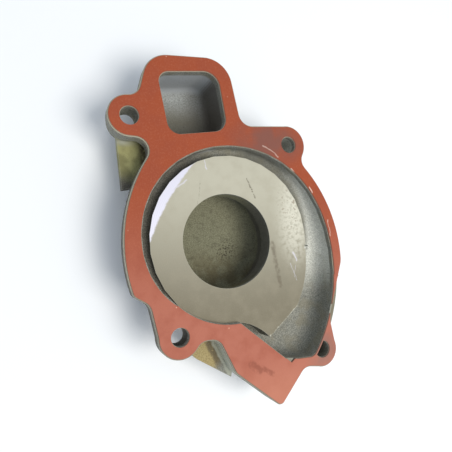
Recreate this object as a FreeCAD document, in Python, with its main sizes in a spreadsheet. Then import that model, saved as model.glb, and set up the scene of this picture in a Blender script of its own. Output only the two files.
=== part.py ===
import FreeCAD, Part
import math
import os

import Sketcher
from FreeCAD import Placement, Rotation, Vector

# Cover of a water pump: one casting and the paper gasket on its joint face.
# The origin is the centre of the inlet eye, on the machined face that the impeller runs against.
# +Z leaves that face towards the impeller, so the cover lies on its back with the joint face up.

os.makedirs("parts", exist_ok=True)
doc = FreeCAD.newDocument("water_pump_cover")

# Driving dimensions, in millimetres and degrees
SIZES = {
    # levels above and below the impeller face
    "joint_height": 2.2,
    "gasket_thickness": 0.8,
    "flange_thickness": 6.5,
    "casting_wall": 4.5,
    # how far the cores stand out of the joint face and run into each other
    "core_rise": 4.0, "core_overlap": 1.0,
    # gasket against casting
    "gasket_margin": 0.6,
    "cutout_clearance": 0.3,
    "gasket_hole_clearance": 0.25, "gasket_strand": 0.7,
    # bolt holes and the ears round them: left top, left bottom, right top, right bottom
    "bolt_hole_radius": 4.4,
    "lt_x": -50.75, "lt_y": 58.8, "lt_ear": 10.2, "lt_depth": 12.0,
    "lb_x": -26.7, "lb_y": -45.9, "lb_ear": 10.6, "lb_depth": 10.2,
    "rt_x": 36.0, "rt_y": 53.1, "rt_ear": 10.6, "rt_depth": 14.0,
    "rb_x": 54.0, "rb_y": -59.3, "rb_ear": 9.5, "rb_depth": 26.5,
    "boss_draft": 0.8,
    # flange outline, from the step at the lower left round by the bottom
    "step_reach": 7.85, "step_y": -26.0, "step_round": 3.6,
    "step_foot_x": -41.1, "step_foot_y": -30.4,
    "notch_top": -48.85, "notch_left_x": -20.0, "notch_right_x": -7.0,
    "tail_shoulder_x": 2.0, "tail_shoulder_y": -66.2, "tail_shoulder_round": 6.0,
    "tail_tip_x": 27.4, "tail_tip_y": -85.9, "tail_tip_round": 3.0,
    "tail_root_x": 42.8, "tail_root_y": -67.4,
    "waist_reach": 12.9, "waist_y": -42.5, "waist_round": 15.0,
    "shoulder_reach": 22.35, "shoulder_y": -11.5, "shoulder_round": 12.0,
    "right_arc_radius": 75.5, "right_arc_top_x": 41.0, "right_arc_top_y": 46.1,
    "port_root_x": 7.7, "port_root_y": 60.45, "port_root_round": 7.0,
    "port_right_x": -0.4, "port_right_y": 95.8,
    "port_left_x": -42.25, "port_left_y": 90.8, "port_corner_round": 14.0,
    "port_heel_x": -47.1,
    "left_arc_radius": 76.7, "left_neck_inset": 4.75,
    "neck_round": 6.2,
    # machined impeller face and the eye in it
    "eye_radius": 24.3,
    "ring_x": 3.1, "ring_y": 0.8, "ring_radius": 43.85,
    "ring_overlap": 0.2,
    "tongue_start_x": -25.8, "tongue_start_y": -32.45,
    "tongue_x": 4.9, "tongue_y": -41.5, "tongue_arc_radius": 43.0,
    # discharge pocket at the end of the scroll
    "pocket_depth": 10.8,
    "pocket_floor_round": 5.5, "pocket_corner_round": 5.0,
    "pocket_top_round": 8.0, "pocket_blend_round": 20.0,
    "pocket_top_reach": 15.2, "pocket_top_y": -3.8, "pocket_arc_radius": 77.0,
    "pocket_corner_x": 48.4, "pocket_bottom": -62.55,
    "pocket_heel_x": 38.5, "pocket_toe_x": 30.6, "pocket_toe_y": -61.6,
    "lip_arc_radius": 31.0,
    "lip_corner_x": 23.0, "lip_corner_y": -50.5,
    "lip_bend_x": 40.3, "lip_bend_y": -35.6,
    "lip_side_radius": 56.0, "lip_top_inset": 0.05,
    # sharp corner that is punched in the gasket over the pocket's toe
    "punch_heel_x": 36.7, "punch_heel_y": -62.2, "punch_x": 34.1, "punch_y": -64.3,
    # inlet port through the flange
    "port_tl_x": -37.5, "port_tl_y": 82.25, "port_tl_round": 5.5,
    "port_tr_x": -6.1, "port_tr_y": 87.85, "port_tr_round": 8.0,
    "port_br_x": -0.5, "port_br_y": 57.15, "port_br_round": 7.0,
    "port_bl_x": -31.2, "port_bl_y": 51.55, "port_bl_round": 6.0,
    # cast-in duct between the port and the eye
    "duct_roof": 9.5, "duct_floor": 23.0, "duct_floor_round": 6.0,
    "duct_eye_radius": 26.5, "duct_bend_round": 15.0,
    "duct_back_round": 8.0, "pocket_back_round": 3.0,
    # block behind the tail and webs behind the flange
    "tail_depth": 12.0,
    "left_web_top": 8.8, "left_web_bottom": 13.6,
    "left_web_edge_x": -55.2, "left_web_edge_y": 53.0,
    "left_web_tip_x": -52.2, "left_web_tip_y": 25.2,
    "lower_web_top": 7.2, "lower_web_bottom": 11.8,
    "lower_web_ear_x": -15.2, "lower_web_ear_y": -59.3,
    "lower_web_tail_x": 3.4, "lower_web_tail_y": -70.2,
    "lower_web_boss_x": -22.0, "lower_web_boss_y": -52.5,
    "lower_web_root_x": 8.0, "lower_web_root_y": -46.0,
    "web_root_x": -30.0, "web_root_y": 30.0,
}

# Stations of the scroll, clockwise from the tongue: angle about the ring's centre, then the sizes of the
# groove there: how far its inner edge lies outside the ring, its width and its depth
STATIONS = (
    (226.0, "start"),
    (205.0, "lower_left"),
    (180.0, "left"),
    (150.0, "upper_left"),
    (120.0, "top_left"),
    (90.0, "top"),
    (60.0, "top_right"),
    (30.0, "upper_right"),
    (0.0, "right"),
    (-18.0, "end"),
)
SIZES.update({
    "inset_start": 0.0, "width_start": 0.5, "groove_start": 1.0,
    "inset_lower_left": 0.0, "width_lower_left": 2.8, "groove_lower_left": 2.6,
    "inset_left": 0.0, "width_left": 4.1, "groove_left": 3.6,
    "inset_upper_left": 0.0, "width_upper_left": 4.9, "groove_upper_left": 4.2,
    "inset_top_left": 0.0, "width_top_left": 4.5, "groove_top_left": 4.5,
    "inset_top": 0.0, "width_top": 4.5, "groove_top": 5.0,
    "inset_top_right": 0.0, "width_top_right": 6.4, "groove_top_right": 6.0,
    "inset_upper_right": 0.0, "width_upper_right": 9.6, "groove_upper_right": 7.6,
    "inset_right": 0.0, "width_right": 14.6, "groove_right": 9.4,
    "inset_end": 2.2, "width_end": 17.6, "groove_end": 10.6,
    # angle from one section of the scroll to the next
    "scroll_step": 12.0,
})

sheet = doc.addObject("Spreadsheet::Sheet", "sizes")
for row, (alias, value) in enumerate(SIZES.items(), start=1):
    sheet.set(f"A{row}", alias)
    sheet.set(f"B{row}", str(value))
    sheet.setAlias(f"B{row}", alias)
doc.recompute()


def amount(text):
    """The number that a sum of aliases stands for."""
    total = 0.0
    sign = 1.0
    for word in text.split():
        if word == "+":
            sign = 1.0
        elif word == "-":
            sign = -1.0
        else:
            total += sign * getattr(sheet, word)
            sign = 1.0
    return total


def bind(item, prop, text):
    """Bind a property to a sum of aliases of the sheet."""
    words = [word if word in "+-" else "sizes." + word for word in text.split()]
    item.setExpression(prop, " ".join(words))


def bulged_arc(start, end, radius):
    """Arc from start to end that bulges to the left of the chord, or to the right for a minus radius."""
    chord = end - start
    side = Vector(-chord.y, chord.x, 0).normalize()
    reach = abs(radius)
    rise = math.sqrt(reach * reach - chord.Length ** 2 / 4)
    turn = 1.0 if radius > 0 else -1.0
    centre = (start + end) / 2 - side * rise * turn
    return centre, reach


def place_point(sketch, geo, point, x, y):
    """Hold a point of a curve at a place given as sums of aliases."""
    for kind, text in (("DistanceX", x), ("DistanceY", y)):
        sketch.addConstraint(Sketcher.Constraint(kind, -1, 1, geo, point, amount(text)))
        bind(sketch, f"Constraints[{sketch.ConstraintCount - 1}]", text)


def draw_outline(sketch, corners, bends=None):
    """Closed outline through corners given as sums of aliases; bends turn a side into an arc.

    A bend is (radius alias, +1 or -1 for the side of the chord that it bulges to)."""
    bends = bends or {}
    points = [Vector(amount(x), amount(y), 0) for x, y in corners]
    count = len(points)
    ends = []
    for index in range(count):
        start = points[index]
        end = points[(index + 1) % count]
        if index in bends:
            alias, side = bends[index]
            centre, reach = bulged_arc(start, end, side * amount(alias))
            circle = Part.Circle(centre, Vector(0, 0, 1), reach)
            clockwise = side > 0
            first, last = (end, start) if clockwise else (start, end)
            arc = Part.ArcOfCircle(circle, circle.parameter(first), circle.parameter(last))
            geo = sketch.addGeometry(arc, False)
            sketch.addConstraint(Sketcher.Constraint("Radius", geo, reach))
            bind(sketch, f"Constraints[{sketch.ConstraintCount - 1}]", alias)
            ends.append((geo, 2, 1) if clockwise else (geo, 1, 2))
        else:
            geo = sketch.addGeometry(Part.LineSegment(start, end), False)
            ends.append((geo, 1, 2))
    for index in range(count):
        geo, _, tail = ends[index]
        following, head, _ = ends[(index + 1) % count]
        sketch.addConstraint(Sketcher.Constraint("Coincident", geo, tail, following, head))
    for index, (x, y) in enumerate(corners):
        geo, head, _ = ends[index]
        place_point(sketch, geo, head, x, y)


def draw_circle(sketch, x, y, radius):
    """Circle whose centre and radius are sums of aliases."""
    centre = Vector(amount(x), amount(y), 0)
    geo = sketch.addGeometry(Part.Circle(centre, Vector(0, 0, 1), amount(radius)), False)
    place_point(sketch, geo, 3, x, y)
    sketch.addConstraint(Sketcher.Constraint("Radius", geo, amount(radius)))
    bind(sketch, f"Constraints[{sketch.ConstraintCount - 1}]", radius)


def body_sketch(body, name, height):
    """Sketch in a body, parallel to its XY plane at a height given as a sum of aliases."""
    sketch = body.newObject("Sketcher::SketchObject", name)
    plane = [item for item in body.Origin.OriginFeatures if item.Role == "XY_Plane"][0]
    sketch.AttachmentSupport = [(plane, "")]
    sketch.MapMode = "FlatFace"
    bind(sketch, "AttachmentOffset.Base.z", height)
    return sketch


def pad(body, name, sketch, length, down=True):
    """Pad a sketch of the body by a sum of aliases."""
    feature = body.newObject("PartDesign::Pad", name)
    feature.Profile = sketch
    feature.Reversed = down
    bind(feature, "Length", length)
    sketch.Visibility = False
    return feature


def upright_edges(shape, places):
    """Names of the upright edges nearest to the places."""
    names = []
    for x, y in places:
        best = None
        for index, edge in enumerate(shape.Edges, start=1):
            first, last = edge.Vertexes[0].Point, edge.Vertexes[-1].Point
            upright = math.hypot(first.x - last.x, first.y - last.y) < 0.01 and abs(first.z - last.z) > 1.0
            if upright:
                away = math.hypot(first.x - x, first.y - y)
                if best is None or away < best[0]:
                    best = (away, f"Edge{index}")
        if best and best[1] not in names:
            names.append(best[1])
    return names


def round_upright(body, name, places, radius):
    """Fillet the body's upright edges at the places, each given as sums of aliases."""
    doc.recompute()
    spots = [(amount(x), amount(y)) for x, y in places]
    tip = body.Tip
    feature = body.newObject("PartDesign::Fillet", name)
    feature.Base = (tip, upright_edges(tip.Shape, spots))
    bind(feature, "Radius", radius)
    doc.recompute()
    return feature


EARS = ("lt", "lb", "rt", "rb")

# Flange: one plate with an ear round each bolt hole, necks rounded into it
flange = doc.addObject("PartDesign::Body", "flange_plate")
plate_sketch = body_sketch(flange, "plate_outline", "joint_height")
draw_outline(plate_sketch, (
    ("ring_x - ring_radius - step_reach", "step_y"),
    ("step_foot_x", "step_foot_y"),
    ("lb_x - lb_ear", "lb_y"),
    ("lb_x", "lb_y"),
    ("notch_left_x", "notch_top"),
    ("notch_right_x", "notch_top"),
    ("tail_shoulder_x", "tail_shoulder_y"),
    ("tail_tip_x", "tail_tip_y"),
    ("tail_root_x", "tail_root_y"),
    ("rb_x", "rb_y - rb_ear"),
    ("rb_x + rb_ear", "rb_y"),
    ("ring_x + ring_radius + waist_reach", "waist_y"),
    ("ring_x + ring_radius + shoulder_reach", "shoulder_y"),
    ("right_arc_top_x", "right_arc_top_y"),
    ("rt_x", "rt_y"),
    ("rt_x", "rt_y + rt_ear"),
    ("port_root_x", "port_root_y"),
    ("port_right_x", "port_right_y"),
    ("port_left_x", "port_left_y"),
    ("port_heel_x", "lt_y + lt_ear"),
    ("lt_x", "lt_y + lt_ear"),
    ("lt_x", "lt_y - lt_ear"),
    ("ring_x - ring_radius + left_neck_inset", "lt_y - lt_ear"),
), {12: ("right_arc_radius", -1), 22: ("left_arc_radius", -1)})
pad(flange, "plate", plate_sketch, "flange_thickness")
for ear in EARS:
    ear_sketch = body_sketch(flange, f"ear_{ear}_outline", "joint_height")
    draw_circle(ear_sketch, f"{ear}_x", f"{ear}_y", f"{ear}_ear")
    pad(flange, f"ear_{ear}", ear_sketch, "flange_thickness")
doc.recompute()
round_upright(flange, "port_corners", (("port_right_x", "port_right_y"), ("port_left_x", "port_left_y")),
              "port_corner_round")
round_upright(flange, "port_root", (("port_root_x", "port_root_y"),), "port_root_round")
round_upright(flange, "shoulder", (("ring_x + ring_radius + shoulder_reach", "shoulder_y"),), "shoulder_round")
round_upright(flange, "waist", (("ring_x + ring_radius + waist_reach", "waist_y"),), "waist_round")
round_upright(flange, "tail_tip", (("tail_tip_x", "tail_tip_y"),), "tail_tip_round")
round_upright(flange, "tail_shoulder", (("tail_shoulder_x", "tail_shoulder_y"),), "tail_shoulder_round")
round_upright(flange, "step", (("ring_x - ring_radius - step_reach", "step_y"),), "step_round")
round_upright(flange, "necks", (
    ("port_heel_x", "lt_y + lt_ear"),
    ("ring_x - ring_radius + left_neck_inset", "lt_y - lt_ear"),
    ("step_foot_x", "step_foot_y"),
    ("notch_left_x", "notch_top"),
    ("notch_right_x", "notch_top"),
    ("tail_root_x", "tail_root_y"),
    ("right_arc_top_x", "right_arc_top_y"),
), "neck_round")
doc.recompute()


def part_sketch(name, height, corners, bends=None):
    """Sketch at a height given as a sum of aliases, or on the impeller face for none."""
    sketch = doc.addObject("Sketcher::SketchObject", name)
    if height:
        bind(sketch, "Placement.Base.z", height)
    draw_outline(sketch, corners, bends)
    doc.recompute()
    return sketch


def extrude(name, base, up=None, down=None):
    """Solid that reaches above a flat outline, below it or both, by sums of aliases."""
    feature = doc.addObject("Part::Extrusion", name)
    feature.Base = base
    feature.DirMode = "Custom"
    feature.Dir = Vector(0, 0, 1)
    feature.Solid = True
    if up:
        bind(feature, "LengthFwd", up)
    if down:
        bind(feature, "LengthRev", down)
    doc.recompute()
    return feature


def offset(name, base, margin):
    """Outline that runs outside another by a sum of aliases, or inside it for a minus sum."""
    feature = doc.addObject("Part::Offset2D", name)
    feature.Source = base
    feature.Fill = False
    bind(feature, "Value", margin)
    doc.recompute()
    return feature


def cylinder(name, x, y, bottom, radius, height):
    """Upright cylinder from a bottom level, all given as sums of aliases; no x and y for the eye's axis."""
    feature = doc.addObject("Part::Cylinder", name)
    if x:
        bind(feature, "Placement.Base.x", x)
        bind(feature, "Placement.Base.y", y)
    bind(feature, "Placement.Base.z", bottom)
    bind(feature, "Radius", radius)
    bind(feature, "Height", height)
    return feature


def fuse(name, shapes):
    """Union of solids, with the seams between like faces taken out."""
    feature = doc.addObject("Part::MultiFuse", name)
    feature.Shapes = shapes
    feature.Refine = True
    doc.recompute()
    return feature


def combine(kind, name, base, tool):
    """Cut or Common of two solids."""
    feature = doc.addObject(kind, name)
    feature.Base = base
    feature.Tool = tool
    feature.Refine = True
    doc.recompute()
    return feature


def fillet(name, base, alias, wanted):
    """Fillet of one radius on the edges that the test picks."""
    radius = getattr(sheet, alias)
    feature = doc.addObject("Part::Fillet", name)
    feature.Base = base
    feature.Edges = [(index, radius, radius) for index, edge in enumerate(base.Shape.Edges, start=1)
                     if wanted(edge)]
    doc.recompute()
    return feature


def level(edge, height):
    """Whether the whole edge lies at a height."""
    return all(abs(point.z - height) < 0.01 for point in edge.discretize(5))


def upright_at(x, y):
    """Test that picks the upright edge at a place given as sums of aliases."""
    spot = Vector(amount(x), amount(y), 0)

    def wanted(edge):
        first, last = edge.Vertexes[0].Point, edge.Vertexes[-1].Point
        flat = Vector(first.x, first.y, 0), Vector(last.x, last.y, 0)
        return all((point - spot).Length < 0.1 for point in flat) and abs(first.z - last.z) > 1.0
    return wanted


# Scroll: a U-shaped groove round the impeller face that grows smoothly from the tongue to the outlet
growth = Part.BSplineCurve()
growth.interpolate(
    Points=[Vector(getattr(sheet, f"inset_{station}"), getattr(sheet, f"width_{station}"),
                   getattr(sheet, f"groove_{station}")) for _, station in STATIONS],
    Parameters=[-angle for angle, _ in STATIONS])
first_angle = STATIONS[0][0]
last_angle = STATIONS[-1][0]
turn_steps = round((first_angle - last_angle) / sheet.scroll_step)
scroll_angles = [first_angle + (last_angle - first_angle) * step / turn_steps
                 for step in range(turn_steps + 1)]


def ring_point(angle, radius, height):
    """Point at a radius from the ring's centre and a height over the impeller face."""
    turn = math.radians(angle)
    return Vector(sheet.ring_x + radius * math.cos(turn), sheet.ring_y + radius * math.sin(turn), height)


def scroll_section(angle, wall, top):
    """U in the radial plane at an angle, open at the top; wall makes the outer skin of the same section."""
    inset, width, depth = growth.value(-angle)
    inner = sheet.ring_radius + inset - wall
    outer = sheet.ring_radius + inset + width + wall
    low = -depth - wall
    crown = min(low + (outer - inner) / 2, top - wall / 2)
    rim = [ring_point(angle, inner, top), ring_point(angle, outer, top)]
    shoulders = [ring_point(angle, inner, crown), ring_point(angle, outer, crown)]
    bottom = ring_point(angle, (inner + outer) / 2, low)
    return Part.Wire([
        Part.makeLine(rim[0], shoulders[0]),
        Part.Arc(shoulders[0], bottom, shoulders[1]).toShape(),
        Part.makeLine(shoulders[1], rim[1]),
        Part.makeLine(rim[1], rim[0]),
    ])


def scroll_loft(name, wall, top):
    """Solid through all the sections of the scroll."""
    feature = doc.addObject("Part::Feature", name)
    feature.Shape = Part.makeLoft([scroll_section(angle, wall, top) for angle in scroll_angles], True, True)
    return feature


core_top = sheet.joint_height + sheet.core_rise
scroll_core = scroll_loft("scroll_core", 0.0, core_top)
scroll_shell = scroll_loft("scroll_shell", sheet.casting_wall, sheet.joint_height - sheet.core_overlap)

# Discharge pocket: the deep end of the scroll, with the machined face's lip along its inner side
pocket_outline = part_sketch("pocket_outline", "- pocket_depth", (
    ("ring_x + ring_radius + pocket_top_reach", "pocket_top_y"),
    ("pocket_corner_x", "pocket_bottom"),
    ("pocket_heel_x", "pocket_bottom"),
    ("pocket_toe_x", "pocket_toe_y"),
    ("tongue_x", "tongue_y"),
    ("lip_corner_x", "lip_corner_y"),
    ("lip_bend_x", "lip_bend_y"),
    ("ring_x + ring_radius - lip_top_inset", "pocket_top_y"),
), {0: ("pocket_arc_radius", 1), 4: ("lip_arc_radius", 1), 6: ("lip_side_radius", -1)})
pocket_block = extrude("pocket_block", pocket_outline, "pocket_depth + joint_height + core_rise")
pocket_cornered = pocket_block
for corner, alias, place in (
    ("top", "pocket_top_round", ("ring_x + ring_radius + pocket_top_reach", "pocket_top_y")),
    ("corner", "pocket_corner_round", ("pocket_corner_x", "pocket_bottom")),
    ("heel", "pocket_blend_round", ("pocket_heel_x", "pocket_bottom")),
):
    pocket_cornered = fillet(f"pocket_{corner}", pocket_cornered, alias, upright_at(*place))


def pocket_floor_edge(edge):
    """Edge of the pocket's floor along its outer wall and its upstream end."""
    centre = edge.CenterOfMass
    outer = centre.x > sheet.pocket_corner_x or centre.y < sheet.pocket_toe_y
    return level(edge, -sheet.pocket_depth) and outer


pocket_core = fillet("pocket_core", pocket_cornered, "pocket_floor_round", pocket_floor_edge)
pocket_skin = offset("pocket_skin", pocket_outline, "casting_wall")
pocket_hump = extrude("pocket_hump", pocket_skin, "pocket_depth", "casting_wall")
pocket_back = sheet.pocket_depth + sheet.casting_wall
pocket_shell = fillet("pocket_shell", pocket_hump, "pocket_back_round",
                      lambda edge: level(edge, -pocket_back))

# Machined face round the eye, sunk below the joint face
recess_outline = part_sketch("recess_outline", None, (
    ("tongue_start_x", "tongue_start_y"),
    ("ring_x - ring_radius - ring_overlap", "ring_y"),
    ("ring_x", "ring_y + ring_radius + ring_overlap"),
    ("ring_x + ring_radius + ring_overlap", "ring_y"),
    ("ring_x + ring_radius - lip_top_inset", "pocket_top_y - ring_overlap"),
    ("lip_bend_x + core_overlap", "lip_bend_y - core_overlap"),
    ("lip_corner_x", "lip_corner_y - core_overlap"),
    ("tongue_x", "tongue_y"),
), {
    0: ("ring_radius + ring_overlap", 1),
    1: ("ring_radius + ring_overlap", 1),
    2: ("ring_radius + ring_overlap", 1),
    3: ("ring_radius + ring_overlap", 1),
    4: ("lip_side_radius", 1),
    7: ("tongue_arc_radius", 1),
})
recess_core = extrude("recess_core", recess_outline, "joint_height + core_rise")

# Inlet duct: from the port down behind the impeller face, round the eye and up through it
duct_outline = doc.addObject("Sketcher::SketchObject", "duct_outline")
bind(duct_outline, "Placement.Base.z", "- duct_floor")
duct_corners = [("port_tl_x", "port_tl_y"), ("port_tr_x", "port_tr_y"), ("port_br_x", "port_br_y")]
top_left, top_right, bend = [Vector(amount(x), amount(y), 0) for x, y in duct_corners]


def tangent_angle(point, side):
    """Angle on the circle round the eye where the line from a point touches it, on one side."""
    return math.atan2(point.y, point.x) + side * math.acos(sheet.duct_eye_radius / point.Length)


right_touch = tangent_angle(bend, -1)
left_touch = tangent_angle(top_left, 1)
eye_circle = Part.Circle(Vector(0, 0, 0), Vector(0, 0, 1), sheet.duct_eye_radius)
eye_right = eye_circle.value(right_touch)
eye_left = eye_circle.value(left_touch)
for start, end in ((top_left, top_right), (top_right, bend), (bend, eye_right), (eye_left, top_left)):
    duct_outline.addGeometry(Part.LineSegment(start, end), False)
round_eye = Part.ArcOfCircle(eye_circle, left_touch, right_touch + 2 * math.pi)
duct_outline.addGeometry(round_eye, False)
for first, first_end, second, second_end in ((0, 2, 1, 1), (1, 2, 2, 1), (3, 2, 0, 1)):
    duct_outline.addConstraint(Sketcher.Constraint("Coincident", first, first_end, second, second_end))
duct_outline.addConstraint(Sketcher.Constraint("Coincident", 4, 3, -1, 1))
duct_outline.addConstraint(Sketcher.Constraint("Tangent", 2, 2, 4, 2))
duct_outline.addConstraint(Sketcher.Constraint("Tangent", 3, 1, 4, 1))
duct_outline.addConstraint(Sketcher.Constraint("Radius", 4, sheet.duct_eye_radius))
bind(duct_outline, f"Constraints[{duct_outline.ConstraintCount - 1}]", "duct_eye_radius")
for side, (x, y) in enumerate(duct_corners):
    place_point(duct_outline, side, 1, x, y)
doc.recompute()
duct_block = extrude("duct_block", duct_outline, "duct_floor - duct_roof")
duct_cornered = duct_block
for corner, alias in (("tl", "port_tl_round"), ("tr", "port_tr_round"), ("br", "duct_bend_round")):
    duct_cornered = fillet(f"duct_{corner}", duct_cornered, alias,
                           upright_at(f"port_{corner}_x", f"port_{corner}_y"))
duct_core = fillet("duct_core", duct_cornered, "duct_floor_round",
                   lambda edge: level(edge, -sheet.duct_floor))
duct_skin = offset("duct_skin", duct_outline, "casting_wall")
duct_hump = extrude("duct_hump", duct_skin, "duct_floor", "casting_wall")
duct_back = sheet.duct_floor + sheet.casting_wall
duct_shell = fillet("duct_shell", duct_hump, "duct_back_round", lambda edge: level(edge, -duct_back))

port_outline = part_sketch("port_outline", "- duct_roof - core_overlap",
                           [(f"port_{corner}_x", f"port_{corner}_y") for corner in ("tl", "tr", "br", "bl")])
port_core = extrude("port_block", port_outline, "duct_roof + core_overlap + joint_height + core_rise")
for corner in ("tl", "tr", "br", "bl"):
    port_core = fillet(f"port_{corner}", port_core, f"port_{corner}_round",
                       upright_at(f"port_{corner}_x", f"port_{corner}_y"))
eye_core = cylinder("eye_core", None, None, "- duct_roof - core_overlap", "eye_radius",
                    "duct_roof + core_overlap + core_rise")

# Ears: a tapered boss behind each, and the bolt hole through it; beside the pocket it is a long post
bosses = []
bolt_holes = []
for ear in EARS:
    boss = doc.addObject("Part::Cone", f"boss_{ear}")
    bind(boss, "Placement.Base.x", f"{ear}_x")
    bind(boss, "Placement.Base.y", f"{ear}_y")
    bind(boss, "Placement.Base.z", f"joint_height - {ear}_depth")
    bind(boss, "Radius1", f"{ear}_ear - boss_draft")
    bind(boss, "Radius2", f"{ear}_ear")
    bind(boss, "Height", f"{ear}_depth - core_overlap")
    bosses.append(boss)
    bolt_holes.append(cylinder(
        f"bolt_hole_{ear}", f"{ear}_x", f"{ear}_y", "- duct_floor - casting_wall - core_overlap",
        "bolt_hole_radius", "duct_floor + casting_wall + core_overlap + joint_height + core_rise"))

# Block behind the tail, flush with the flange's edge
flange_rim = doc.addObject("Part::Feature", "flange_rim")
top_faces = [face for face in flange.Shape.Faces
             if abs(face.CenterOfMass.z - sheet.joint_height) < 0.01]
rim_edges = []
for edge in top_faces[0].OuterWire.OrderedEdges:
    start, middle, end = edge.discretize(3)
    bent = middle.distanceToLine(start, end - start) > 0.001
    rim_edges.append(Part.Arc(start, middle, end).toShape() if bent else Part.makeLine(start, end))
flange_rim.Shape = Part.Face(Part.Wire(Part.sortEdges(rim_edges)[0]))
tail_skirt = extrude("tail_skirt", flange_rim, down="joint_height + tail_depth")
tail_zone = doc.addObject("Part::Box", "tail_zone")
bind(tail_zone, "Placement.Base.x", "notch_right_x - core_overlap")
bind(tail_zone, "Placement.Base.y", "tail_tip_y - core_overlap")
bind(tail_zone, "Placement.Base.z", "- tail_depth")
bind(tail_zone, "Length", "tail_root_x - notch_right_x")
bind(tail_zone, "Width", "notch_top - tail_tip_y")
bind(tail_zone, "Height", "tail_depth + joint_height - core_overlap")
tail_block = combine("Part::Common", "tail_block", tail_skirt, tail_zone)

# Webs behind the flange: one from the left ear down to the ring, one between the lower ear and the tail
left_web_outline = part_sketch("left_web_outline", "- left_web_bottom", (
    ("left_web_edge_x", "left_web_edge_y"),
    ("left_web_tip_x", "left_web_tip_y"),
    ("web_root_x", "web_root_y"),
    ("web_root_x", "left_web_edge_y"),
))
left_web = extrude("left_web", left_web_outline, "left_web_bottom - left_web_top")
lower_web_outline = part_sketch("lower_web_outline", "- lower_web_bottom", (
    ("lower_web_boss_x", "lower_web_boss_y"),
    ("lower_web_ear_x", "lower_web_ear_y"),
    ("lower_web_tail_x", "lower_web_tail_y"),
    ("lower_web_root_x", "lower_web_root_y"),
))
lower_web = extrude("lower_web", lower_web_outline, "lower_web_bottom - lower_web_top")

# Casting: all the outer forms in one, less the cores
blank = fuse("blank", [flange, scroll_shell, pocket_shell, duct_shell, tail_block, left_web, lower_web,
                       *bosses])
cores = fuse("cores", [scroll_core, pocket_core, recess_core, duct_core, port_core, eye_core] + bolt_holes)
cover_casting = combine("Part::Cut", "cover_casting", blank, cores)

# Gasket: the joint face's outline drawn in a little, less openings a little wider than the cores
gasket_outline = offset("gasket_outline", flange_rim, "- gasket_margin")
gasket_sheet = extrude("gasket_sheet", gasket_outline, "gasket_thickness")


def lifted(core, margin):
    """Flat face on the joint level, as large as a core's top grown by a margin."""
    top = max(core.Shape.Faces, key=lambda face: face.CenterOfMass.z)
    wire = top.OuterWire.makeOffset2D(margin)
    face = Part.Face(wire)
    face.translate(Vector(0, 0, sheet.joint_height - wire.BoundBox.ZMin))
    return face


def scroll_opening(margin):
    """Flat face over the scroll, from the ring to the groove's outer edge grown by a margin."""

    def rim_point(angle):
        inset, width, _ = growth.value(-angle)
        return ring_point(angle, sheet.ring_radius + inset + width + margin, sheet.joint_height)

    rim = [Part.Arc(rim_point(start), rim_point((start + end) / 2), rim_point(end)).toShape()
           for start, end in zip(scroll_angles, scroll_angles[1:])]
    back = [ring_point(angle, sheet.ring_radius, sheet.joint_height)
            for angle in (last_angle, (first_angle + last_angle) / 2, first_angle)]
    return Part.Face(Part.Wire(rim + [
        Part.makeLine(rim_point(last_angle), back[0]),
        Part.Arc(*back).toShape(),
        Part.makeLine(back[2], rim_point(first_angle)),
    ]))


punch_outline = part_sketch("punch_outline", "joint_height", (
    ("punch_heel_x", "punch_heel_y"),
    ("punch_x", "punch_y"),
    ("pocket_toe_x", "pocket_toe_y"),
    ("pocket_heel_x", "lip_corner_y"),
))
clearance = sheet.cutout_clearance
chamber = scroll_opening(clearance).multiFuse([
    lifted(pocket_core, clearance), lifted(recess_core, clearance), Part.Face(punch_outline.Shape)])
openings = [chamber.removeSplitter(), lifted(port_core, clearance)]
kept_strand = lifted(pocket_core, clearance + sheet.gasket_strand)
for ear in EARS:
    centre = Vector(amount(f"{ear}_x"), amount(f"{ear}_y"), sheet.joint_height)
    hole = Part.Circle(centre, Vector(0, 0, 1), sheet.bolt_hole_radius + sheet.gasket_hole_clearance)
    openings.append(Part.Face(Part.Wire(hole.toShape())).cut(kept_strand))
gasket_openings = doc.addObject("Part::Feature", "gasket_openings")
gasket_openings.Shape = Part.makeCompound([face for opening in openings for face in opening.Faces])
gasket_cutter = extrude("gasket_cutter", gasket_openings, "gasket_thickness + core_overlap", "core_overlap")
flange_gasket = combine("Part::Cut", "flange_gasket", gasket_sheet, gasket_cutter)
flange_gasket.Placement = Placement(Vector(0, 0, 0), Rotation())
cover_casting.Placement = Placement(Vector(0, 0, 0), Rotation())
doc.recompute()

# Every object has to be sound, and each piece one whole solid, before the files are written
for item in doc.Objects:
    if "Invalid" in item.State or "Error" in item.State:
        raise RuntimeError(f"{item.Name} failed")
for piece in (cover_casting, flange_gasket):
    piece.Label = piece.Name
    shape = piece.Shape
    if shape.isNull() or not shape.isValid() or len(shape.Solids) != 1:
        raise RuntimeError(f"{piece.Name} is not one sound solid")
    shape.exportStep(f"parts/{piece.Label}.step")
    print(piece.Label, round(shape.Volume), "cubic millimetres")
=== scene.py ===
import math

import bmesh
import bpy
from mathutils import Matrix, Quaternion, Vector


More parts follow.
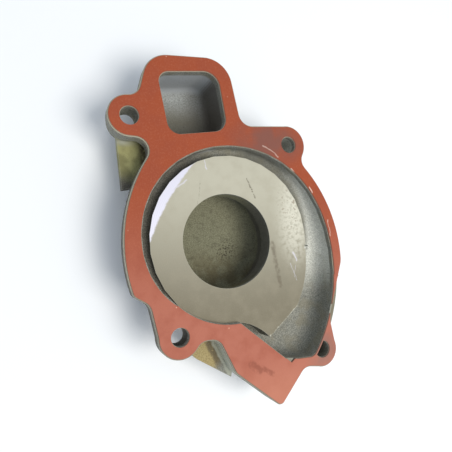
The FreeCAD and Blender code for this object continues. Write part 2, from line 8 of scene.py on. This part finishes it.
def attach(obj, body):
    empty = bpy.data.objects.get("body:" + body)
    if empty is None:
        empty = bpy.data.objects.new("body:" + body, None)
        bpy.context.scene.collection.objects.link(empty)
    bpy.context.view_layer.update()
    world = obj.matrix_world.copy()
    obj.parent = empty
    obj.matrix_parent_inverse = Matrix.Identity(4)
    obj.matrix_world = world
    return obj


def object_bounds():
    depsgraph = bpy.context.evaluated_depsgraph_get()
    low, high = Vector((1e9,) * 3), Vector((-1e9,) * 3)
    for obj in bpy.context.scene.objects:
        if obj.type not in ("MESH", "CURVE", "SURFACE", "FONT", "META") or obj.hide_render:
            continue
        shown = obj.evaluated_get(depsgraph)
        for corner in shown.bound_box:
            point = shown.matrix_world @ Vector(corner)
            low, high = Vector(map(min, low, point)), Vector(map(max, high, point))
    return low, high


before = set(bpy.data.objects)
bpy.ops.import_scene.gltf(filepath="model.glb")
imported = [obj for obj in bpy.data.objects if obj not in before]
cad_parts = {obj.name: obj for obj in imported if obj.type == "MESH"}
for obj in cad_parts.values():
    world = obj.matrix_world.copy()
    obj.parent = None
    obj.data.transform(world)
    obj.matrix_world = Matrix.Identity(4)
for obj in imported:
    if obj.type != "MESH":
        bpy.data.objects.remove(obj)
cad_corners = [list(corner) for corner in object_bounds()]

# Cover casting
# One aluminium sand casting: the skin is left rough from the mould, and only the face round the eye and
# the joint face are machined. Coolant has stained its water ways, and its edges are rubbed bright.
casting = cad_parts["cover_casting"]
MILLIMETRES_PER_METRE = 1000.0
RING_CENTRE = (3.1, 0.8)
WATER_WAYS_RADIUS = 66.0
EYE_CENTRE, EYE_STAIN_RADIUS = (0.0, 0.0), 28.0
PORT_CENTRE, PORT_STAIN_RADIUS = (-19.0, 69.5), 24.0
LEFT_WEB_CENTRE, LEFT_WEB_RADIUS = (-48.0, 42.0), 11.0
LOWER_WEB_CENTRE, LOWER_WEB_RADIUS = (-10.0, -56.0), 10.0
CRESCENT_CENTRE, CRESCENT_RADIUS = (83.6, -44.3), 131.8
SLIVER_CENTRE, SLIVER_RADIUS = (47.0, -3.6), 0.75
SCRATCH_WAVE, SCRATCH_SWAY = 3.0, 1.8
EDGE_WEAR_RADIUS = 0.45
SAND_GRAIN_DEPTH = 0.3
TURNED_RING_PITCH, TURNED_RING_HEIGHT = 0.9, 0.02
OXIDE_METALLIC, OXIDE_SPECULAR = 0.12, 0.3


def tone(red, green, blue):
    """Surface colour from the screen's values of 0 to 255."""
    shares = [((value / 255 + 0.055) / 1.055) ** 2.4 for value in (red, green, blue)]
    return (*shares, 1.0)


class Finish:
    """A finish built up from textures. Distances are in millimetres, and a mask is 1 where it applies."""

    def __init__(self, name):
        self.material = bpy.data.materials.new(name)
        self.material.use_nodes = True
        self.tree = self.material.node_tree
        self.shader = self.tree.nodes["Principled BSDF"]
        scaled = self.add("ShaderNodeVectorMath", operation="SCALE")
        self.feed(scaled.inputs[0], self.add("ShaderNodeTexCoord").outputs["Object"])
        scaled.inputs["Scale"].default_value = MILLIMETRES_PER_METRE
        self.place = scaled.outputs["Vector"]
        parts = self.add("ShaderNodeSeparateXYZ")
        self.feed(parts.inputs[0], self.place)
        self.x, self.y, self.z = parts.outputs
        self.flat = self.vector("MULTIPLY", self.place, (1.0, 1.0, 0.0))
        geometry = self.add("ShaderNodeNewGeometry")
        self.normal = geometry.outputs["True Normal"]
        slopes = self.add("ShaderNodeSeparateXYZ")
        self.feed(slopes.inputs[0], self.normal)
        self.east, self.north, self.up = slopes.outputs
        wander = self.add("ShaderNodeTexNoise")
        self.feed(wander.inputs["Vector"], self.place)
        wander.inputs["Scale"].default_value = 1 / SCRATCH_WAVE
        sway = self.vector("MULTIPLY", self.vector("SUBTRACT", wander.outputs["Color"], (0.5, 0.5, 0.5)),
                           (SCRATCH_SWAY, SCRATCH_SWAY, 0.0))
        self.wavy = self.vector("ADD", self.flat, sway)

    def add(self, kind, **settings):
        """New node with its settings."""
        piece = self.tree.nodes.new(kind)
        for name, value in settings.items():
            setattr(piece, name, value)
        return piece

    def feed(self, socket, value):
        """Gives a socket a number, or links another node's output to it."""
        if isinstance(value, bpy.types.NodeSocket):
            self.tree.links.new(value, socket)
        else:
            socket.default_value = value

    def number(self, operation, *values):
        """Arithmetic on numbers."""
        piece = self.add("ShaderNodeMath", operation=operation)
        for socket, value in zip(piece.inputs, values):
            self.feed(socket, value)
        return piece.outputs["Value"]

    def vector(self, operation, *values):
        """Arithmetic on places."""
        piece = self.add("ShaderNodeVectorMath", operation=operation)
        for socket, value in zip(piece.inputs, values):
            self.feed(socket, value)
        return piece.outputs["Value" if operation in ("LENGTH", "DOT_PRODUCT") else "Vector"]

    def rise(self, value, low, high):
        """Mask that rises smoothly from 0 at low to 1 at high; low may lie above high."""
        piece = self.add("ShaderNodeMapRange", interpolation_type="SMOOTHSTEP")
        self.feed(piece.inputs["Value"], value)
        self.feed(piece.inputs["From Min"], low)
        self.feed(piece.inputs["From Max"], high)
        return piece.outputs["Result"]

    def grain(self, size, detail=2.0, shift=0.0, rough=0.5):
        """Cloudy texture with grains of a size."""
        piece = self.add("ShaderNodeTexNoise")
        self.feed(piece.inputs["Vector"], self.vector("ADD", self.place, (shift, 2 * shift, 0.0)))
        piece.inputs["Scale"].default_value = 1 / size
        piece.inputs["Detail"].default_value = detail
        piece.inputs["Roughness"].default_value = rough
        return piece.outputs["Fac"]

    def pits(self, spacing, radius, shift=0.0):
        """Small round spots, one to each stretch of the spacing at most."""
        piece = self.add("ShaderNodeTexVoronoi")
        self.feed(piece.inputs["Vector"], self.vector("ADD", self.place, (shift, 2 * shift, 0.0)))
        piece.inputs["Scale"].default_value = 1 / spacing
        reach = radius / spacing
        return self.rise(piece.outputs["Distance"], reach, reach / 2)

    def both(self, *masks):
        """Where all the masks apply."""
        result = masks[0]
        for mask in masks[1:]:
            result = self.number("MULTIPLY", result, mask)
        return result

    def either(self, *masks):
        """Where any of the masks applies."""
        result = masks[0]
        for mask in masks[1:]:
            result = self.number("MAXIMUM", result, mask)
        return result

    def disc(self, centre, radius, soft, squeeze=(1.0, 1.0)):
        """Round patch seen from above, or an oval one where it is squeezed."""
        arm = self.vector("SUBTRACT", self.flat, (*centre, 0.0))
        reach = self.vector("LENGTH", self.vector("MULTIPLY", arm, (*squeeze, 0.0)))
        return self.rise(reach, radius + soft, radius - soft)

    def stroke(self, start, end, width, soft=0.35):
        """Straight scratch seen from above, a little wavy."""
        run = (end[0] - start[0], end[1] - start[1], 0.0)
        length = math.hypot(*run)
        arm = self.vector("SUBTRACT", self.wavy, (*start, 0.0))
        along = self.vector("DOT_PRODUCT", arm, tuple(step / length ** 2 for step in run))
        held = self.number("MINIMUM", self.number("MAXIMUM", along, 0.0), 1.0)
        foot = self.add("ShaderNodeVectorMath", operation="SCALE")
        foot.inputs[0].default_value = run
        self.feed(foot.inputs["Scale"], held)
        away = self.vector("LENGTH", self.vector("SUBTRACT", arm, foot.outputs["Vector"]))
        return self.rise(away, width / 2 + soft, width / 2)

    def blend(self, amount, under, over):
        """One colour laid over another."""
        piece = self.add("ShaderNodeMix", data_type="RGBA")
        self.feed(piece.inputs[0], amount)
        self.feed(piece.inputs[6], under)
        self.feed(piece.inputs[7], over)
        return piece.outputs[2]

    def tint(self, under, mask, share, over):
        """One colour laid over another where a mask applies, by a share of its strength."""
        return self.blend(self.number("MULTIPLY", mask, share), under, over)

    def level(self, amount, under, over):
        """One number laid over another."""
        piece = self.add("ShaderNodeMix", data_type="FLOAT")
        self.feed(piece.inputs[0], amount)
        self.feed(piece.inputs[2], under)
        self.feed(piece.inputs[3], over)
        return piece.outputs[0]

    def worn_edge(self, radius):
        """Mask along sharp edges, from the difference between the true and a rounded normal."""
        rounded = self.add("ShaderNodeBevel", samples=6)
        rounded.inputs["Radius"].default_value = radius / MILLIMETRES_PER_METRE
        match = self.vector("DOT_PRODUCT", rounded.outputs["Normal"], self.normal)
        return self.rise(match, 0.995, 0.85)

    def relief(self, height, depth):
        """Bump of a depth."""
        piece = self.add("ShaderNodeBump")
        piece.inputs["Distance"].default_value = depth / MILLIMETRES_PER_METRE
        self.feed(piece.inputs["Height"], height)
        return piece.outputs["Normal"]

    def dress(self, piece):
        """Puts the finish on a piece."""
        piece.data.materials.clear()
        piece.data.materials.append(self.material)


def casting_finish():
    """Sand-cast aluminium with a machined face round the eye."""
    metal = Finish("cast_aluminium")
    cloud = metal.grain(7.0, detail=3.0)
    speckle = metal.grain(0.55, detail=2.0, rough=0.6)
    fine = metal.grain(0.4, detail=2.0, shift=11.0)
    patchy = metal.grain(2.2, detail=4.0, shift=5.0)

    # as-cast skin, with the stains of each of its water ways, and painted shade and painted light in places;
    # the stains have no lower limit, so they also come through on the underside, where the real cover
    # wouldn't have them
    skin = metal.blend(metal.rise(speckle, 0.32, 0.7), tone(112, 112, 104), tone(158, 157, 146))
    skin = metal.tint(skin, metal.rise(cloud, 0.42, 0.65), 0.4, tone(130, 122, 98))
    below = metal.rise(metal.z, -1.0, -3.0)
    in_ways = metal.both(metal.disc(RING_CENTRE, WATER_WAYS_RADIUS, 2.0), metal.rise(metal.z, -0.2, -0.8))
    ring_arm = metal.vector("SUBTRACT", metal.flat, (*RING_CENTRE, 0.0))
    ring_reach = metal.vector("LENGTH", ring_arm)
    # the water ways are painted darker over their left half, painted shade
    shaded_left_ways = metal.both(in_ways, metal.rise(metal.x, -2.0, -24.0))
    shaded_skin = metal.blend(metal.rise(speckle, 0.32, 0.7), tone(66, 63, 56), tone(104, 100, 90))
    skin = metal.tint(skin, shaded_left_ways, 0.85, shaded_skin)
    # the outer part of the right water way is painted paler, painted light
    lit_outer_flank = metal.both(in_ways, metal.rise(metal.x, 26.0, 44.0), metal.rise(metal.y, -34.0, -8.0),
                           metal.rise(ring_reach, 49.0, 53.0))
    lit_skin = metal.blend(metal.rise(speckle, 0.32, 0.7), tone(190, 190, 180), tone(236, 236, 226))
    skin = metal.tint(skin, lit_outer_flank, 0.9, lit_skin)
    # the inner flank of the right water way is painted darker, painted shade
    shaded_inner_flank = metal.both(in_ways, metal.rise(ring_reach, 52.0, 45.5), metal.rise(metal.x, 4.0, 16.0),
                             metal.rise(metal.y, -20.0, -8.0))
    skin = metal.tint(skin, shaded_inner_flank, 0.75, tone(94, 93, 84))
    in_eye = metal.both(metal.disc(EYE_CENTRE, EYE_STAIN_RADIUS, 1.0), below)
    olive = metal.blend(metal.rise(speckle, 0.3, 0.7), tone(108, 107, 84), tone(142, 140, 116))
    brown = metal.both(metal.rise(metal.y, 2.0, -20.0), metal.rise(cloud, 0.3, 0.6))
    olive = metal.tint(olive, brown, 0.75, tone(92, 82, 56))
    olive = metal.tint(olive, metal.rise(patchy, 0.5, 0.75), 0.5, tone(84, 80, 64))
    # the eye is painted darker towards its right, painted shade
    olive = metal.tint(olive, metal.rise(metal.x, 8.0, 26.0), 0.25, tone(66, 63, 56))
    # the eye's walls that face left are painted darker, painted shade
    shaded_eye_wall = metal.both(metal.rise(metal.up, 0.3, 0.1), metal.rise(metal.east, -0.3, -0.8))
    olive = metal.tint(olive, shaded_eye_wall, 0.6, tone(88, 85, 84))
    skin = metal.blend(in_eye, skin, olive)
    in_port = metal.both(metal.disc(PORT_CENTRE, PORT_STAIN_RADIUS, 2.0), below)
    bluish = metal.blend(metal.rise(speckle, 0.3, 0.7), tone(140, 142, 138), tone(180, 183, 182))
    warm = metal.rise(metal.y, 82.0, 66.0)
    bluish = metal.tint(bluish, warm, 0.8, tone(108, 103, 86))
    shaded = metal.rise(metal.x, -20.0, -8.0)
    bluish = metal.tint(bluish, shaded, 0.4, tone(112, 106, 96))
    # the port's walls that face towards the eye are painted paler, painted light
    lit_port_wall = metal.rise(metal.north, -0.5, -0.9)
    bluish = metal.tint(bluish, lit_port_wall, 0.8, tone(176, 180, 184))
    # the port's walls that face left are painted darker, painted shade
    shaded_port_wall = metal.rise(metal.east, -0.4, -0.9)
    bluish = metal.tint(bluish, shaded_port_wall, 0.7, tone(92, 86, 80))
    skin = metal.blend(in_port, skin, bluish)
    eye_pits = metal.both(metal.pits(1.3, 0.6, shift=3.0), metal.disc((8.0, -4.5), 6.0, 4.0), below)
    pits = metal.both(metal.pits(2.6, 0.42), metal.rise(metal.grain(6.0, shift=31.0), 0.5, 0.6))
    pitted = metal.either(metal.number("MULTIPLY", pits, 0.4), metal.number("MULTIPLY", eye_pits, 0.75))
    skin = metal.blend(pitted, skin, tone(46, 38, 32))

    # oxide and old coolant on the outside, by the webs, with painted shade and painted light beside them
    left_web = metal.both(metal.disc(LEFT_WEB_CENTRE, LEFT_WEB_RADIUS, 4.0), metal.rise(metal.z, -6.0, -8.0))
    oxide = metal.blend(metal.rise(cloud, 0.35, 0.6), tone(128, 124, 84), tone(158, 154, 106))
    # the foot of the flange wall beside the left web is painted dark in patches, painted shade
    shaded_wall_foot = metal.both(metal.stroke((-41.0, 49.0), (-40.4, 40.0), 3.0, 3.0), metal.rise(patchy, 0.25, 0.5))
    oxide = metal.tint(oxide, shaded_wall_foot, 0.8, tone(72, 60, 42))
    chalky = metal.disc((-52.0, 49.0), 1.2, 2.0, (0.35, 1.0))
    oxide = metal.tint(oxide, chalky, 0.75, tone(176, 178, 172))
    skin = metal.blend(left_web, skin, oxide)
    lower_web = metal.both(metal.disc(LOWER_WEB_CENTRE, LOWER_WEB_RADIUS, 3.0),
                           metal.rise(metal.z, -5.0, -7.0))
    ochre = metal.blend(metal.rise(speckle, 0.35, 0.6), tone(143, 126, 82), tone(174, 158, 114))
    # a darker streak along the lower web, beside the tail's side
    dark_streak = metal.both(metal.stroke((-9.5, -50.0), (-1.5, -66.0), 2.4, 1.5), metal.rise(patchy, 0.2, 0.45))
    ochre = metal.tint(ochre, dark_streak, 0.75, tone(92, 82, 66))
    skin = metal.blend(lower_web, skin, ochre)
    # the tail's side wall is painted pale, painted light
    lit_tail_side = metal.both(metal.stroke((-6.0, -50.0), (3.0, -67.5), 3.0, 1.0),
                           metal.rise(metal.z, 1.5, 0.5))
    skin = metal.tint(skin, lit_tail_side, 0.75, tone(186, 187, 170))

    # machined face round the eye under its tan film, with a painted reflection across it
    level_up = metal.rise(metal.up, 0.95, 0.99)
    machined = metal.both(metal.rise(metal.number("ABSOLUTE", metal.z), 0.3, 0.1), level_up)
    # the face is painted lighter towards the top and darker towards the bottom, a painted reflection
    reflection_to_top = metal.rise(metal.y, -42.0, 38.0)
    film = metal.blend(reflection_to_top, tone(112, 105, 86), tone(180, 176, 158))
    film = metal.tint(film, metal.rise(cloud, 0.4, 0.7), 0.2, tone(148, 140, 120))
    film = metal.tint(film, metal.rise(fine, 0.45, 0.75), 0.15, tone(180, 176, 160))
    # the crescent at the face's upper left edge is cleaner, smoother metal, and its pale bluish colour is a
    # painted reflection
    bright_arm = metal.vector("SUBTRACT", metal.flat, (*CRESCENT_CENTRE, 0.0))
    ragged = metal.number("MULTIPLY", patchy, 1.6)
    bright_reach = metal.number("ADD", metal.vector("LENGTH", bright_arm), ragged)
    bright = metal.rise(bright_reach, CRESCENT_RADIUS, CRESCENT_RADIUS + 1.0)
    film = metal.blend(bright, film, tone(208, 206, 218))
    rubbed = metal.both(metal.disc((40.0, 14.0), 8.0, 7.0, (1.0, 0.42)), metal.rise(patchy, 0.25, 0.6))
    film = metal.tint(film, rubbed, 0.8, tone(216, 213, 197))
    worn_spots = metal.both(metal.disc((38.0, 17.0), 8.0, 4.0, (1.0, 0.6)), metal.rise(patchy, 0.55, 0.66))
    film = metal.tint(film, worn_spots, 0.6, tone(124, 108, 86))
    smudge = metal.both(metal.stroke((25.8, -1.5), (30.2, -24.0), 0.8, 1.6), metal.rise(patchy, 0.25, 0.6))
    film = metal.tint(film, smudge, 0.65, tone(98, 89, 72))
    broken = metal.rise(metal.grain(1.1, detail=2.0, shift=9.0), 0.38, 0.55)
    dark_scratches = metal.either(
        metal.stroke((11.4, 32.9), (16.0, 22.9), 0.3),
        metal.number("MULTIPLY", metal.stroke((-15.0, 29.0), (-16.5, 16.0), 0.1, 0.3), 0.5),
    )
    dark_scratches = metal.both(dark_scratches, broken)
    film = metal.tint(film, dark_scratches, 0.7, tone(84, 76, 62))
    light_scratches = metal.either(
        metal.stroke((-29.5, 24.5), (-22.0, 30.0), 0.3),
        metal.stroke((-11.5, 36.5), (-12.5, 40.5), 0.2),
        metal.stroke((38.6, -6.0), (41.0, -10.5), 0.5),
        metal.stroke((36.6, -12.0), (40.8, -21.5), 0.05, 0.16),
        metal.stroke((40.2, -13.0), (39.0, -20.0), 0.05, 0.16),
    )
    film = metal.tint(film, light_scratches, 0.6, tone(206, 203, 214))
    skin = metal.blend(machined, skin, film)

    # bare rim of the joint face beside the gasket, and edges rubbed bright; the sliver is a fault of the
    # solid that the real cover lacks, and it is painted near white, painted light that lifts the shade on
    # its side so that it looks like the face beside it
    widening = metal.number("MULTIPLY", metal.number("MAXIMUM", metal.x, 0.0), 0.16)
    outwards = metal.number("SUBTRACT", ring_reach, widening)
    rim = metal.both(metal.rise(metal.z, 2.0, 2.15), level_up, metal.rise(outwards, 49.6, 50.2))
    rim_tone = metal.blend(metal.rise(metal.y, -28.0, -20.0), tone(140, 136, 120), tone(176, 172, 150))
    skin = metal.tint(skin, rim, 0.8, rim_tone)
    lip_line = metal.stroke((23.2, -50.3), (40.8, -35.2), 0.25, 0.35)
    chipped = metal.both(lip_line, metal.rise(metal.z, -1.5, -0.5), metal.rise(patchy, 0.4, 0.55))
    skin = metal.tint(skin, chipped, 0.6, tone(196, 194, 180))
    # the face in the gasket's notch at the lower right is painted near black, a painted shadow of the
    # gasket's edge
    painted_shadow_notch = metal.both(metal.stroke((34.5, -64.0), (36.6, -62.3), 0.9, 0.3), metal.rise(metal.z, 1.5, 2.0))
    skin = metal.blend(painted_shadow_notch, skin, tone(40, 36, 36))
    # the sliver is painted near white, painted light
    sliver = metal.both(metal.disc(SLIVER_CENTRE, SLIVER_RADIUS, 0.15), metal.rise(metal.z, -0.3, 0.05))
    skin = metal.blend(sliver, skin, tone(250, 248, 236))
    edge = metal.both(metal.worn_edge(EDGE_WEAR_RADIUS), metal.rise(speckle, 0.3, 0.55))
    skin = metal.tint(skin, edge, 0.5, tone(176, 176, 164))
    metal.feed(metal.shader.inputs["Base Color"], skin)

    metal.shader.inputs["Metallic"].default_value = OXIDE_METALLIC
    metal.shader.inputs["Specular IOR Level"].default_value = OXIDE_SPECULAR
    face_gloss = metal.level(bright, metal.level(fine, 0.5, 0.66), 0.4)
    rough_skin = metal.level(speckle, 0.66, 0.86)
    metal.feed(metal.shader.inputs["Roughness"], metal.level(machined, rough_skin, face_gloss))

    # sand grain of the skin, and the turned rings of the machined face
    turned = metal.number("SINE", metal.number("MULTIPLY", ring_reach, 2 * math.pi / TURNED_RING_PITCH))
    rough = metal.number("ADD", speckle, metal.number("MULTIPLY", cloud, 1.5))
    height = metal.level(machined, rough, metal.number("MULTIPLY", turned, TURNED_RING_HEIGHT))
    metal.feed(metal.shader.inputs["Normal"], metal.relief(height, SAND_GRAIN_DEPTH))
    return metal


cast_metal = casting_finish()
cast_metal.dress(casting)

# Pocket wall
# The thin wall between the discharge pocket and the bolt hole at the lower right, cast in one with the
# cover. It follows the pocket's side and the round at its foot, under the gasket's narrow strand. The
# solids lack it, so it is made here alone.
WALL_CENTRE = (-13.70, -17.03)
WALL_RADIUS = 77.05
WALL_TOP = 2.15
WALL_FOOT_ROUND = 5.55
WALL_FOOT_LEVEL = -5.3
WALL_FOOT_TURN = 60.0
WALL_FOOT_STEPS = 6
WALL_FROM, WALL_TO = -34.6, -29.3
WALL_STEPS = 12
WALL_THICKNESS = 0.5
WALL_WELD = 0.001


def pocket_wall():
    """Short stretch of the pocket's side, spun about the centre of its arc."""
    shape = bmesh.new()
    heel = shape.verts.new((WALL_RADIUS, 0.0, WALL_FOOT_LEVEL))
    top = shape.verts.new((WALL_RADIUS, 0.0, WALL_TOP))
    shape.edges.new((heel, top))
    bmesh.ops.spin(shape, geom=[heel], cent=(WALL_RADIUS - WALL_FOOT_ROUND, 0.0, WALL_FOOT_LEVEL),
                   axis=(0.0, 1.0, 0.0), angle=math.radians(WALL_FOOT_TURN), steps=WALL_FOOT_STEPS)
    bmesh.ops.rotate(shape, verts=shape.verts, cent=(0.0, 0.0, 0.0),
                     matrix=Matrix.Rotation(math.radians(WALL_FROM), 3, "Z"))
    bmesh.ops.spin(shape, geom=shape.verts[:] + shape.edges[:], cent=(0.0, 0.0, 0.0), axis=(0.0, 0.0, 1.0),
                   angle=math.radians(WALL_TO - WALL_FROM), steps=WALL_STEPS)
    bmesh.ops.remove_doubles(shape, verts=shape.verts, dist=WALL_WELD)
    bmesh.ops.recalc_face_normals(shape, faces=shape.faces)
    bmesh.ops.translate(shape, verts=shape.verts, vec=(*WALL_CENTRE, 0.0))
    bmesh.ops.scale(shape, verts=shape.verts, vec=(1 / MILLIMETRES_PER_METRE,) * 3)
    mesh = bpy.data.meshes.new("pocket_wall")
    shape.to_mesh(mesh)
    shape.free()
    piece = bpy.data.objects.new("pocket_wall", mesh)
    bpy.context.scene.collection.objects.link(piece)
    thick = piece.modifiers.new("wall_thickness", "SOLIDIFY")
    thick.thickness = WALL_THICKNESS / MILLIMETRES_PER_METRE
    thick.offset = 1.0
    return piece


wall = pocket_wall()
cast_metal.dress(wall)
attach(wall, "root")

# Joint gasket
# A sheet of red fibre paper, 0.8 mm thick, punched to the joint face with sharp cut edges. It has stuck to
# the casting, and is scuffed grey near the upper right bolt and stained over the tail.
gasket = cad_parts["flange_gasket"]
SCUFF_CENTRE, SCUFF_RADIUS = (24.0, 53.5), 14.0
LOWER_RIGHT_BOLT, AGED_RADIUS = (54.0, -59.3), 9.0
FIBRE_DEPTH = 0.12
PAPER_SPECULAR = 0.22


def gasket_finish():
    """Red fibre gasket paper, cut edges paler."""
    paper = Finish("fibre_gasket")
    cloud = paper.grain(9.0, detail=3.0)
    fibre = paper.grain(0.8, detail=4.0, rough=0.7)
    lower = paper.rise(paper.y, 30.0, -45.0)
    red = paper.blend(lower, tone(153, 72, 43), tone(171, 103, 84))
    red = paper.tint(red, paper.rise(cloud, 0.35, 0.7), 0.4, tone(142, 68, 48))
    red = paper.tint(red, paper.rise(fibre, 0.45, 0.75), 0.3, tone(180, 112, 86))
    tail = paper.rise(paper.y, -58.0, -80.0)
    red = paper.tint(red, tail, 0.6, tone(190, 124, 100))
    scuffed = paper.rise(paper.grain(8.0, detail=4.0, shift=3.0), 0.1, 0.6)
    scuff = paper.both(paper.disc(SCUFF_CENTRE, SCUFF_RADIUS, 9.0, (0.8, 1.4)), scuffed)
    red = paper.tint(red, scuff, 0.9, tone(124, 80, 69))
    soaked = paper.rise(paper.grain(2.6, detail=4.0, shift=7.0), 0.3, 0.6)
    stain = paper.either(paper.stroke((10.5, -62.5), (15.0, -66.0), 2.4, 1.4),
                         paper.stroke((16.5, -65.0), (22.5, -68.5), 1.4, 1.2))
    red = paper.tint(red, paper.both(stain, soaked), 0.55, tone(126, 68, 52))
    aged = paper.both(paper.disc(LOWER_RIGHT_BOLT, AGED_RADIUS, 5.0), paper.rise(cloud, 0.2, 0.5))
    red = paper.tint(red, aged, 0.6, tone(138, 108, 98))
    flecked_parts = paper.rise(paper.grain(11.0, shift=23.0), 0.5, 0.6)
    flecks = paper.both(paper.pits(5.0, 0.4, shift=17.0), flecked_parts)
    red = paper.tint(red, flecks, 0.7, tone(222, 178, 150))
    chips = paper.either(
        paper.stroke((37.3, 39.2), (39.2, 36.8), 0.9),
        paper.stroke((45.3, 31.1), (52.3, 22.9), 0.15),
        paper.stroke((49.0, 30.0), (50.5, 27.0), 0.3),
        paper.number("MULTIPLY", paper.stroke((20.0, 51.0), (24.5, 49.0), 0.2, 0.4), 0.5),
        paper.number("MULTIPLY", paper.stroke((24.0, 49.5), (29.0, 45.5), 0.2, 0.4), 0.5),
        paper.number("MULTIPLY", paper.stroke((60.5, 12.0), (62.0, 3.0), 0.2, 0.3), 0.6),
    )
    red = paper.tint(red, chips, 0.75, tone(232, 206, 190))
    cut = paper.rise(paper.number("ABSOLUTE", paper.up), 0.5, 0.2)
    red = paper.tint(red, cut, 0.5, tone(190, 150, 130))
    paper.feed(paper.shader.inputs["Base Color"], red)
    paper.feed(paper.shader.inputs["Roughness"], paper.level(fibre, 0.62, 0.82))
    paper.shader.inputs["Specular IOR Level"].default_value = PAPER_SPECULAR
    height = paper.number("ADD", fibre, paper.number("MULTIPLY", cloud, 2.0))
    paper.feed(paper.shader.inputs["Normal"], paper.relief(height, FIBRE_DEPTH))
    return paper


gasket_finish().dress(gasket)

# Table
# A plain pale sheet that the cover lies on.
FLOOR_HALF = 1.5
SHEET_COLOUR = (0.86, 0.87, 0.88, 1.0)
SHEET_ROUGHNESS = 0.9
SHEET_SPECULAR = 0.1
floor_level = cad_corners[0][2]
bpy.ops.mesh.primitive_plane_add(size=2 * FLOOR_HALF, location=(0.0, 0.0, floor_level))
table = bpy.context.active_object
table.name = "table_sheet"
sheet_material = bpy.data.materials.new("pale_sheet")
sheet_material.use_nodes = True
sheet_shader = sheet_material.node_tree.nodes["Principled BSDF"]
sheet_shader.inputs["Base Color"].default_value = SHEET_COLOUR
sheet_shader.inputs["Roughness"].default_value = SHEET_ROUGHNESS
sheet_shader.inputs["Specular IOR Level"].default_value = SHEET_SPECULAR
table.data.materials.append(sheet_material)

# Light
# One large soft lamp high at the lower right, and an even pale room round it.
LAMP_PLACE = Vector((0.27, -0.20, 0.80))
LAMP_SIZE = 0.5
LAMP_POWER = 6.1
LAMP_COLOUR = (1.0, 0.965, 0.90)
ROOM_COLOUR = (0.82, 0.9, 1.0, 1.0)
ROOM_STRENGTH = 0.70
lamp = bpy.data.lights.new("soft_lamp", "AREA")
lamp.size = LAMP_SIZE
lamp.energy = LAMP_POWER
lamp.color = LAMP_COLOUR
lamp_holder = bpy.data.objects.new("soft_lamp", lamp)
lamp_holder.location = LAMP_PLACE
lamp_holder.rotation_euler = LAMP_PLACE.to_track_quat("Z", "Y").to_euler()
bpy.context.scene.collection.objects.link(lamp_holder)
room = bpy.data.worlds.new("pale_room")
room.use_nodes = True
background = room.node_tree.nodes["Background"]
background.inputs["Color"].default_value = ROOM_COLOUR
background.inputs["Strength"].default_value = ROOM_STRENGTH
bpy.context.scene.world = room

# Camera
# It stands over the cover's left side and looks down on the joint face.
CAMERA_PLACE = (-0.082041, -0.009177, 0.188189)
CAMERA_TURN = 0.4136193902611434
CAMERA_TURN_AXIS = (0.20308526, -0.97916106, 0.0)
CAMERA_LENS = 31.86
CAMERA_SENSOR = 36.0
CAMERA_CLIP = 0.01
camera = bpy.data.cameras.new("camera")
camera.lens = CAMERA_LENS
camera.sensor_width = CAMERA_SENSOR
camera.clip_start = CAMERA_CLIP
camera_holder = bpy.data.objects.new("camera", camera)
camera_holder.location = CAMERA_PLACE
camera_holder.rotation_mode = "QUATERNION"
camera_holder.rotation_quaternion = Quaternion(CAMERA_TURN_AXIS, CAMERA_TURN)
bpy.context.scene.collection.objects.link(camera_holder)
bpy.context.scene.camera = camera_holder
bpy.context.scene.view_settings.view_transform = "Standard"
